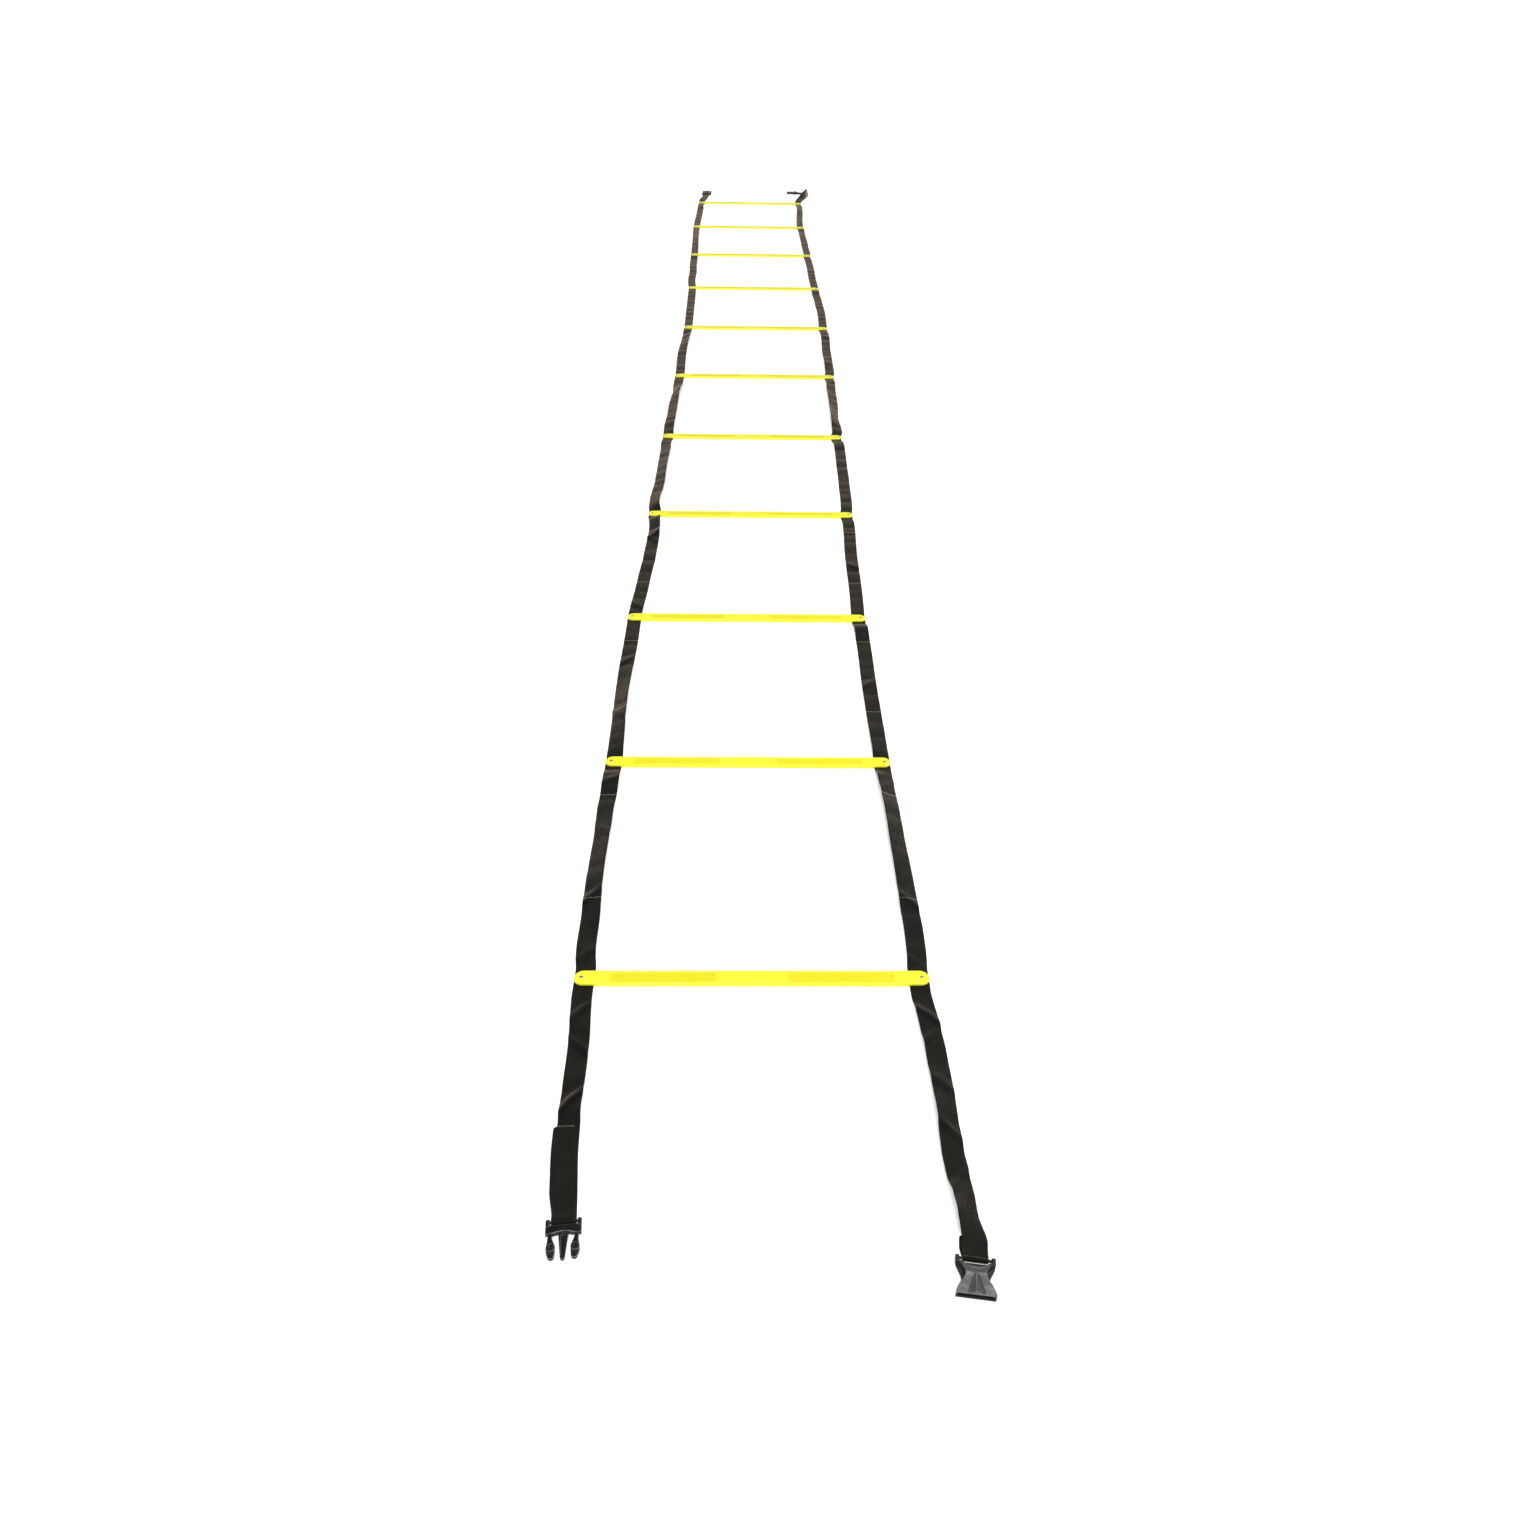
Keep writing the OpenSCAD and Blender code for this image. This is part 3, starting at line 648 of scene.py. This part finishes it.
CREASES = [  # side, place, slant across the width, half length, depth, all in metres
    (1, -2.232, 0.013, 0.007, 0.0030), (1, -2.262, -0.011, 0.007, 0.0022),
    (-1, -2.276, 0.012, 0.007, 0.0028), (-1, -2.225, -0.012, 0.007, 0.0020),
    (-1, -2.352, -0.014, 0.007, 0.0030), (1, -2.39, 0.012, 0.007, 0.0022),
    (1, -2.45, -0.014, 0.007, 0.0026), (1, -2.33, 0.010, 0.008, 0.0018),
    (1, -1.80, 0.014, 0.008, 0.0022), (-1, -1.62, -0.012, 0.008, 0.0022),
    (-1, -0.97, 0.014, 0.008, 0.0024), (-1, -0.99, -0.012, 0.008, 0.0018),
    (1, -0.30, 0.012, 0.008, 0.0022), (-1, -0.14, 0.014, 0.009, 0.0022),
    (1, 0.36, -0.012, 0.009, 0.0018), (-1, 0.34, 0.01, 0.009, 0.0018),
    (1, -1.10, -0.010, 0.008, 0.0018), (-1, -2.03, 0.012, 0.008, 0.0022),
    (1, -2.04, -0.012, 0.008, 0.0022), (-1, -1.90, -0.013, 0.008, 0.0018),
    (1, -1.52, 0.012, 0.009, 0.0018), (-1, -1.45, 0.012, 0.009, 0.0018),
    (1, 1.02, 0.01, 0.010, 0.0016), (-1, 1.46, -0.01, 0.010, 0.0016),
    (-1, -2.135, 0.010, 0.008, 0.0018), (1, -2.15, -0.012, 0.007, 0.0022),
    (-1, -1.79, 0.008, 0.007, 0.0020), (-1, -1.26, -0.010, 0.008, 0.0016),
]


def total(features, side, y):
    """The sizes of one side's features, added up at places along the ladder."""
    return sum((size * bump_shape(y, place, half) for s, place, half, size in features if s == side),
               np.zeros_like(y))


def clear_of_rungs(y):
    """0 under and beside a rung, 1 a little further away."""
    away = np.min([np.abs(y - RUNG_AT[k][1]) for k in RUNG_AT], axis=0)
    return smooth_step(away, RUNG_WIDTH / 2 + 1 * MM, RUNG_WIDTH / 2 + 26 * MM)


FULL_FOLD = 3 * MM  # a fold this deep gets its painted highlight and painted shade at full strength


def creases(side, y, across):
    """Lift of each point from the sharp little folds, and its fold value: above 0 for the painted
    highlight on one side of a fold, below 0 for the painted shade on its other side.

    y is per ring, across is -1 to 1."""
    lift = np.zeros((len(y), len(across)))
    fold = np.zeros_like(lift)
    for s, place, slant, half, depth in CREASES:
        if s == side:
            line = (y[:, None] - place - slant * across[None]) / half
            ridge = np.exp(-(line**2))
            lift += depth * ridge * (1 - 0.35 * across[None] ** 2)
            # painted highlight just to one side of the fold's crest, painted shade on its other side
            fold += depth / FULL_FOLD * (0.5 * np.exp(-((line - 0.5) ** 2) * 4)
                                         - np.exp(-((line + 0.9) ** 2) * 3))
    return lift, fold


def ripple(side, y):
    """Small waves that any laid webbing has."""
    return (0.0007 * np.sin(y * 63 + side) + 0.00055 * np.sin(y * 97 + 2.1 * side)
            + 0.0006 * np.sin(y * 37 + 4 * side))


def side_strap(side, low, high, name, material):
    """One side strap between two places along the ladder."""
    count = max(2, int(round((high - low) / RING_STEP)) + 1)
    y = np.linspace(low, high, count)
    free = clear_of_rungs(y)
    roll = np.radians(total(ROLLS, side, y)) * free
    x = ladder_centre(y) + side * STRAP_X + total(SWAYS, side, y) * free
    lift = total(HUMPS, side, y) * smooth_step(free, 0, 0.6) + np.abs(ripple(side, y)) * free
    z = LAID_Z + lift + np.abs(np.sin(roll)) * STRAP_WIDTH / 2 * 0.96
    centres = np.stack([x, y, z], 1)
    tangent = np.gradient(centres, axis=0)
    tangent /= np.linalg.norm(tangent, axis=1)[:, None]
    flat = np.cross(tangent, [0, 0, 1.0])
    flat /= np.linalg.norm(flat, axis=1)[:, None]
    up = np.cross(flat, tangent)
    widths = flat * np.cos(roll)[:, None] + up * np.sin(roll)[:, None]
    ups = np.cross(widths, tangent)
    across = webbing_section()[:, 0]
    lifted, fold = (part * free[:, None] for part in creases(side, y, across))
    return webbing_piece(name, centres, widths, ups, y, material, lifted, fold=fold)


def fold_lines():
    """Every fold of the side straps: (y, body before, body after, half the length of the bend)."""
    found = []
    for joint in frame["joints"]:
        if joint["name"].startswith(("gather", "fold_")):
            bodies = [joint["parent"], joint["child"]]
            y = joint["pos_m"][1]
            if y < 0:
                bodies.reverse()
            zone = BAY_BEND if joint["name"].startswith("fold_in_bay") else RUNG_BEND
            found.append((y, *bodies, zone))
    return sorted(found)


def nodes_on(body):
    """The side strap nodes that ride on a body."""
    return [n for n in frame["record"]["behaviour"]["bodies"][body] if "straps" in n]


def make_side_straps(material):
    """One piece for each fold of each side, cut halfway between the folds."""
    folds = fold_lines()
    ends = RUNG_AT[RUNGS][1] + END_OVERLAP
    ys = [fold[0] for fold in folds]
    cuts = [-ends] + [(a + b) / 2 for a, b in zip(ys, ys[1:])] + [ends]
    for side, side_name in ((-1, "left"), (1, "right")):
        for i, (y, before, after, zone) in enumerate(folds):
            name = f"{side_name}_strap_{i + 1:02d}"
            piece = side_strap(side, cuts[i], cuts[i + 1], name, material)
            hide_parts(*nodes_on(before), *nodes_on(after))
            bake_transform(piece)


# ------------------------------------------------------------------ loose ends

LAYER_Z = STRAP_THICKNESS / 2 + 0.05 * MM  # middle of webbing that lies on the floor
SECOND_Z = LAYER_Z + 1.6 * MM  # middle of webbing that lies on another layer
WRAP_R = 2.4 * MM
SEWN_END = 26 * MM
STEP = 2.2 * MM  # between the rings of a loose end
ROUND_END = 4 * MM  # length of the rounded corners of a turned back end
# How far each turned back end lies off its strap, and from where to where along it that builds up
FOLD_SHIFT = {
    "near_left": (-3.6 * MM, 12 * MM, 45 * MM), "near_right": (-3.0 * MM, 8 * MM, 22 * MM),
    "far_left": (2.5 * MM, 8 * MM, 22 * MM), "far_right": (2.5 * MM, 8 * MM, 22 * MM)}
# Middle line of each loose end up to its buckle: x, y, and how many degrees it is turned on its edge
ROUTES = {
    "near_left": [
        (-0.2065, -2.180, 0), (-0.2065, -2.199, 0), (-0.205, -2.226, 3), (-0.2027, -2.256, 6),
        (-0.2011, -2.300, 4), (-0.2006, -2.340, 8), (-0.2002, -2.366, 14), (-0.1995, -2.386, 3),
        (-0.1984, -2.411, 0), (-0.1942, -2.454, 0)],
    "near_right": [
        (0.1985, -2.180, 0), (0.1985, -2.199, 0), (0.2008, -2.226, -5), (0.2034, -2.265, -8),
        (0.2050, -2.300, -8), (0.2058, -2.340, -14), (0.2058, -2.366, -20), (0.2055, -2.400, -10),
        (0.2064, -2.435, -6), (0.2085, -2.466, -18), (0.2098, -2.486, -28), (0.2113, -2.503, -18)],
    "far_left": [
        (-0.2065, 2.180, 0), (-0.2065, 2.199, 0), (-0.206, 2.215, 3), (-0.204, 2.235, 8),
        (-0.2005, 2.257, 8), (-0.197, 2.280, 4)],
    "far_right": [
        (0.1985, 2.180, 0), (0.1985, 2.199, 0), (0.200, 2.215, 4), (0.205, 2.238, 12),
        (0.214, 2.265, 28), (0.225, 2.293, 50), (0.235, 2.320, 66), (0.242, 2.345, 74),
        (0.2445, 2.366, 72), (0.243, 2.382, 52), (0.2395, 2.391, 26)],
}
BUCKLE_OF = {"near_left": "near_male", "near_right": "near_female",
             "far_left": "far_female", "far_right": "far_male"}
# Middle line at a buckle: distance from its bar and height, in mm
APPROACH_BELOW = [(-24, 0.8), (-12, 0.8), (-6, 0.8), (-1.5, 0.8)]
APPROACH_ABOVE = [(-20, 2.6), (-14, 2.9), (-9, 3.9), (-4, 5.2), (-1.5, 5.55)]
RETURN_ABOVE = [(-1.5, 5.55), (-4, 5.15), (-9, 3.8), (-14, 2.95), (-22, 2.6)]
# The near left strap's turned back end goes on from there through these places
RETURN_ROUTE = [(-0.1942, -2.454), (-0.1984, -2.411), (-0.1995, -2.384)]
RETURN_BELOW = [(-1.5, 0.8), (-6, 0.8), (-14, 0.8), (-SEWN_END / MM, 0.8)]


def bar_of(buckle):
    """A buckle's strap bar: its middle, and the way the buckle points."""
    joint = JOINTS[f"turn_{buckle}"]
    return np.array(joint["pos_m"]), np.array([-joint["axis"][1], joint["axis"][0], 0])


def smooth_line(knots, step):
    """Even steps along a smooth curve through knots, whose first three columns are the place."""
    knots = np.array(knots, float)
    steps = np.linalg.norm(np.diff(knots[:, :3], axis=0), axis=1)
    t = np.concatenate([[0], np.cumsum(steps)])
    slope = np.gradient(knots, t, axis=0)
    at = np.linspace(0, t[-1], max(3, int(t[-1] / step) + 1))
    i = np.clip(np.searchsorted(t, at, side="right") - 1, 0, len(t) - 2)
    h = (t[i + 1] - t[i])[:, None]
    u = (at - t[i])[:, None] / h
    line = ((2 * u**3 - 3 * u**2 + 1) * knots[i] + (u**3 - 2 * u**2 + u) * h * slope[i]
            + (3 * u**2 - 2 * u**3) * knots[i + 1] + (u**3 - u**2) * h * slope[i + 1])
    return line, at


def route_knots(route):
    """Place and direction of the width for every point of a route."""
    knots = []
    for i, (x, y, tilt) in enumerate(route):
        a, b = route[max(i - 1, 0)], route[min(i + 1, len(route) - 1)]
        yaw, tilt = math.atan2(b[1] - a[1], b[0] - a[0]), math.radians(tilt)
        z = LAYER_Z + (STRAP_WIDTH / 2 - 0.4 * MM) * abs(math.sin(tilt))
        knots.append((x, y, z, -math.sin(yaw) * math.cos(tilt), math.cos(yaw) * math.cos(tilt),
                      math.sin(tilt)))
    return knots


def return_knots(route, buckle):
    """Knots of the long turned back end, which lies on the layer that led to the buckle."""
    bar, ahead = bar_of(buckle)
    path = [tuple(bar[:2] + RETURN_ABOVE[-1][0] * MM * ahead[:2]), *route]
    knots = []
    for i in range(1, len(path)):
        a, b = path[i - 1], path[min(i + 1, len(path) - 1)]
        yaw = math.atan2(b[1] - a[1], b[0] - a[0])
        knots.append((*path[i], SECOND_Z + 0.2 * MM, math.sin(yaw), -math.cos(yaw), 0))
    return knots


def buckle_knots(buckle, profile):
    """Knots beside a buckle's bar, from distances and heights in mm."""
    bar, ahead = bar_of(buckle)
    return [(*(bar[:2] + distance * MM * ahead[:2]), height * MM, -ahead[1], ahead[0], 0)
            for distance, height in profile]


def sweep_knots(name, knots, material, side=None, shift=None):
    """Webbing along knots, and its middle line. With side it has that side's creases and ripples,
    and with shift it is a turned back end, which moves sideways and has rounded corners."""
    line, at = smooth_line(knots, STEP)
    centres, widths = line[:, :3], line[:, 3:]
    widths = widths / np.linalg.norm(widths, axis=1)[:, None]
    if shift is not None:
        size, low, high = shift
        centres = centres + widths * (size * smooth_step(at, low, high))[:, None]
    tangent = np.gradient(centres, axis=0)
    tangent /= np.linalg.norm(tangent, axis=1)[:, None]
    ups = np.cross(widths, tangent)
    ups /= np.linalg.norm(ups, axis=1)[:, None]
    if ups[0, 2] < 0:
        widths, ups = -widths, -ups
    lift, fold = None, None
    if side is not None:
        y = centres[:, 1]
        free = (clear_of_rungs(y) * smooth_step(at[-1] - at, 6 * MM, 20 * MM))[:, None]
        lift, fold = (part * free for part in creases(side, y, webbing_section()[:, 0]))
        lift = lift + np.abs(ripple(side, y))[:, None] * free
    if shift is not None:
        left = np.clip((at[-1] - at) / ROUND_END, 0, 1)
        widths = widths * (1 - 0.3 * (1 - np.sqrt(1 - (1 - left) ** 2)))[:, None]
    return webbing_piece(name, centres, widths, ups, at, material, lift, fold), centres


def wrap_profile(turns):
    """Distances and heights in mm of webbing that goes round a bar, at angles in degrees."""
    bar_z = JOINTS["turn_near_male"]["pos_m"][2] / MM
    r = WRAP_R / MM
    return [(r * math.cos(math.radians(a)), bar_z + r * math.sin(math.radians(a))) for a in turns]


def make_loose_ends(material):
    """For each loose end, its piece up to the buckle, its turned back piece, and its middle line."""
    made = {}
    for end, route in ROUTES.items():
        buckle = BUCKLE_OF[end]
        side = -1 if "left" in end else 1
        if end == "near_left":  # up round the bar, and a long way back on top
            approach, turns, back = APPROACH_BELOW, range(-90, 91, 15), RETURN_ABOVE
        else:  # over the bar, and a short sewn end underneath
            approach, turns, back = APPROACH_ABOVE, range(90, -91, -15), RETURN_BELOW
        piece, line = sweep_knots(f"{end}_end", route_knots(route) + buckle_knots(buckle, approach),
                                  material, side=side)
        knots = buckle_knots(buckle, [approach[-1], *wrap_profile(turns), *back])
        if end == "near_left":
            knots += return_knots(RETURN_ROUTE, buckle)
        fold, _ = sweep_knots(f"{end}_fold", knots, material, shift=FOLD_SHIFT[end])
        made[end] = (piece, fold, line)
    return made


def declare_loose_ends(made):
    for end, (piece, fold, line) in made.items():
        body = f"{end}_tail"
        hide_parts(body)
        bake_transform(piece)
        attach(fold, body)


# ------------------------------------------------------------------ buckles

VOXEL = 0.32 * MM
KEPT_FACES = 0.3  # the share of the remeshed faces that a buckle part keeps
FEMALE_PAINTED_TOP = (6.5, 8.5)  # heights in mm between which the plastic goes from plain black to the painted highlight of its top
MALE_PAINTED_TOP = (1.5, 3.5)
# In a buckle's own mm: an arch is its centre's Y and its radius
REAR_ARCH = (-9.4, 19)
FRONT_ARCH = (42.9, 31)
VAULT_FROM, VAULT_LENGTH, VAULT_HALF_WIDTH = 17.6, 20.6, 9
CATCH_Y, CATCH_X = 31.6, 12  # middle of the step across a prong's catch


def local_of(points, buckle):
    """Places in a buckle's own millimetres: X along its bar, Y the way it points, Z up."""
    bar, ahead = bar_of(buckle)
    right = np.array([ahead[1], -ahead[0], 0])
    offset = points - np.array([bar[0], bar[1], 0])
    return np.stack([offset @ right, offset @ ahead, offset[:, 2]], 1) / MM


def applied(piece):
    """Turns a piece's modifiers into its mesh."""
    graph = bpy.context.evaluated_depsgraph_get()
    mesh = bpy.data.meshes.new_from_object(piece.evaluated_get(graph))
    piece.modifiers.clear()
    piece.data = mesh


def moulded(node, buckle, name, material, details, painted_top_above):
    """A buckle part with the CAD part's shape, edges rounded as in a mould, and finer details.

    The last argument is the heights in mm between which the plastic goes from plain black to the
    painted highlight of its top."""
    mesh = frame["nodes"][node].data.copy()
    mesh.materials.clear()
    mesh.materials.append(material)
    piece = add_piece(name, mesh)
    remesh = piece.modifiers.new("skin", "REMESH")
    remesh.mode, remesh.voxel_size, remesh.use_smooth_shade = "VOXEL", VOXEL, True
    soften = piece.modifiers.new("soften", "SMOOTH")
    soften.factor, soften.iterations = 0.5, 4
    applied(piece)
    points = np.empty(len(piece.data.vertices) * 3)
    piece.data.vertices.foreach_get("co", points)
    points = points.reshape(-1, 3)
    local = local_of(points, buckle)
    points[:, 2] += details(*local.T) * MM
    piece.data.vertices.foreach_set("co", points.ravel())
    thin = piece.modifiers.new("thin", "DECIMATE")
    thin.ratio = KEPT_FACES
    applied(piece)
    piece.data.shade_smooth()
    points, edge = convexity(piece.data)
    # convexity, which the material uses for a painted highlight on the top edges
    set_attribute(piece, "edge", edge)
    # the top gets a painted highlight here, and all below it stays dark as painted shade
    set_attribute(piece, "worn", smooth_step(local_of(points, buckle)[:, 2], *painted_top_above))
    return piece


def convexity(mesh):
    """A mesh's points, and how far each stands out from its neighbours, in edge lengths."""
    points = np.empty(len(mesh.vertices) * 3)
    normals = np.empty(len(mesh.vertices) * 3)
    ends = np.empty(len(mesh.edges) * 2, dtype=int)
    mesh.vertices.foreach_get("co", points)
    mesh.vertices.foreach_get("normal", normals)
    mesh.edges.foreach_get("vertices", ends)
    points, normals, ends = points.reshape(-1, 3), normals.reshape(-1, 3), ends.reshape(-1, 2)
    sums, lengths, counts = np.zeros_like(points), np.zeros(len(points)), np.zeros(len(points))
    size = np.linalg.norm(points[ends[:, 0]] - points[ends[:, 1]], axis=1)
    for here, there in ((0, 1), (1, 0)):
        np.add.at(sums, ends[:, here], points[ends[:, there]])
        np.add.at(lengths, ends[:, here], size)
        np.add.at(counts, ends[:, here], 1)
    counts = np.maximum(counts, 1)
    out = ((points - sums / counts[:, None]) * normals).sum(1) / np.maximum(lengths / counts, 1e-6)
    return points, out


def female_details(x, y, z):
    """A raised lip along the hollow rear edge, and a ridge with a groove on each side on the vault."""
    top = smooth_step(z, 5.5, 6.5)
    from_arch = np.hypot(x, y - REAR_ARCH[0]) - REAR_ARCH[1]
    lip = 0.45 * np.exp(-(((from_arch - 0.9) / 0.7) ** 2)) * top
    vault_half = np.clip((y - VAULT_FROM) / VAULT_LENGTH, 0, 1) * VAULT_HALF_WIDTH
    along = smooth_step(y, 16.5, 20) * smooth_step(37.5 - y, 0, 1.5)
    groove = np.exp(-(((np.abs(x) - vault_half * 0.72 - 0.5) / 1.3) ** 2))
    ridge = np.exp(-((x / (0.8 + 0.1 * vault_half)) ** 2))
    return lip + (0.9 * ridge - 0.8 * groove) * along * top


def male_body_details(x, y, z):
    """A raised lip along the arched front of the plate."""
    from_arch = np.hypot(x, y - FRONT_ARCH[0]) - FRONT_ARCH[1]
    return 0.4 * np.exp(-(((from_arch - 0.8) / 0.5) ** 2)) * smooth_step(z, 5.0, 5.6)


def male_arm_details(x, y, z):
    """A step across the catch, and a lower, flat pad at its end."""
    top = smooth_step(z, 3.6, 4.6)
    step = np.exp(-(((y - CATCH_Y + 0.12 * (np.abs(x) - CATCH_X) ** 2) / 0.45) ** 2))
    return -(0.45 * step + 0.5 * smooth_step(y, 32, 36)) * top


def make_buckles(male_material, female_material):
    """The pieces of each buckle half."""
    buckles = {}
    for buckle in BUCKLE_OF.values():
        female = buckle.endswith("_female")
        parts = [f"{buckle}_body"] + ([] if female else [f"{buckle}_arm_left", f"{buckle}_arm_right"])
        buckles[buckle] = []
        for node in parts:
            is_body = node.endswith("_body")
            details = female_details if female else male_body_details if is_body else male_arm_details
            piece = moulded(node, buckle, f"{node}_moulded",
                            female_material if female else male_material, details,
                            FEMALE_PAINTED_TOP if female else MALE_PAINTED_TOP)
            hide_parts(node)
            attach(piece, buckle if is_body else node)
            buckles[buckle].append(piece)
    return buckles


# ------------------------------------------------------------------ build

make_camera()
WEBBING = webbing_material()
LOOSE_ENDS = make_loose_ends(WEBBING)
# the female halves use the same black plastic with a much paler top, a painted highlight
BUCKLES = make_buckles(
    buckle_material("black_acetal", dark=0.0012, light=0.003, edge_highlight=0.2, rough=0.22, gloss=0.34),
    buckle_material("painted_highlight_acetal", dark=0.002, light=0.085, edge_highlight=0.2, rough=0.22, gloss=0.55))
declare_loose_ends(LOOSE_ENDS)
make_surroundings()
make_rungs(rung_material())
make_rivets(rivet_material())
make_side_straps(WEBBING)
